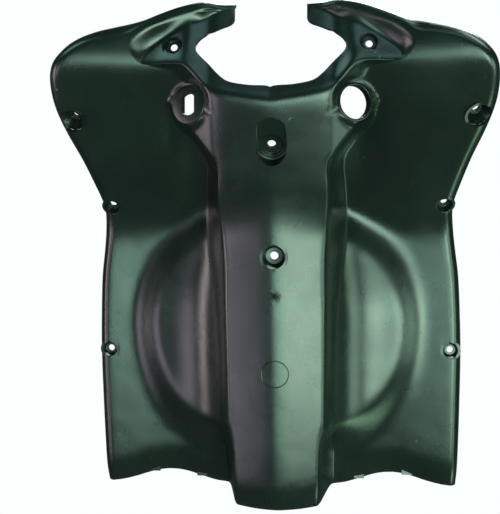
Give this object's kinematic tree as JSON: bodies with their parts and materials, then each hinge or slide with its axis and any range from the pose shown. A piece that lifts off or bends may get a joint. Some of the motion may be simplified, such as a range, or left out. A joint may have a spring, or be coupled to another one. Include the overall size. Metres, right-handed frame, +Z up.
{
  "type": "scooter front inner panel",
  "caption": "Moulded plastic inner panel of a scooter's leg shield, with a column tunnel, two wings, a steering notch, a lock hole and a key slot.",
  "frame": {"origin": "on the axis of the middle column screw, in the middle of the wall that its head clamps", "axes": "+Z up along the steering column, -Y towards the rider, +X to the right as the rider sees the panel"},
  "size_m": [0.412, 0.1962, 0.4925],
  "materials": {
    "body": "satin"
  },
  "bodies": {
    "root": {"inner_panel": "body"}
  },
  "joints": []
}
